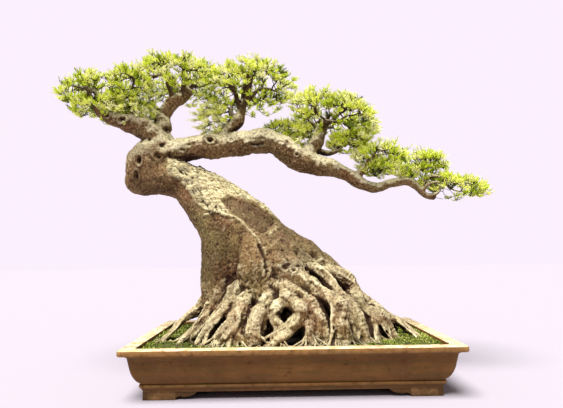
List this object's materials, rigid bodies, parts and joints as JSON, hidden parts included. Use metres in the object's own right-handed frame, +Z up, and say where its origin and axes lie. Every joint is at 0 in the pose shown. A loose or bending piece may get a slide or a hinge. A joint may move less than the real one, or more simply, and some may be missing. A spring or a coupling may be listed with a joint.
{
  "type": "bonsai tree in a pot",
  "caption": "Old leaning bonsai tree with a flared trunk on spreading surface roots, a long limb swept back over it and pads of small leaves, in a shallow rectangular clay pot.",
  "frame": {"origin": "on the table, at the middle of the bottom of the bounding box", "axes": "+X along the pot's length, towards the tip of the long limb; +Y from the front of the pot to its back; +Z up"},
  "size_m": [1.2509, 0.49, 0.9364],
  "materials": {
    "clay": "unglazed fired clay, slightly worn",
    "soil": "damp soil under moss",
    "bark": "rough bark",
    "leaf": "fresh leaves"
  },
  "bodies": {
    "root": {"bough_back": "bark", "bough_far": "bark", "bough_far_right": "bark", "bough_inner": "bark", "bough_left": "bark", "bough_low": "bark", "bough_main": "bark", "bough_middle": "bark", "bough_outer": "bark", "bough_right": "bark", "bough_tip": "bark", "bough_top": "bark", "mass_back": "leaf", "mass_far": "leaf", "mass_far_right": "leaf", "mass_inner": "leaf", "mass_left": "leaf", "mass_low": "leaf", "mass_middle": "leaf", "mass_right": "leaf", "mass_tip": "leaf", "mass_top": "leaf", "pot": "clay", "soil": "soil", "trunk": "bark"}
  },
  "joints": []
}
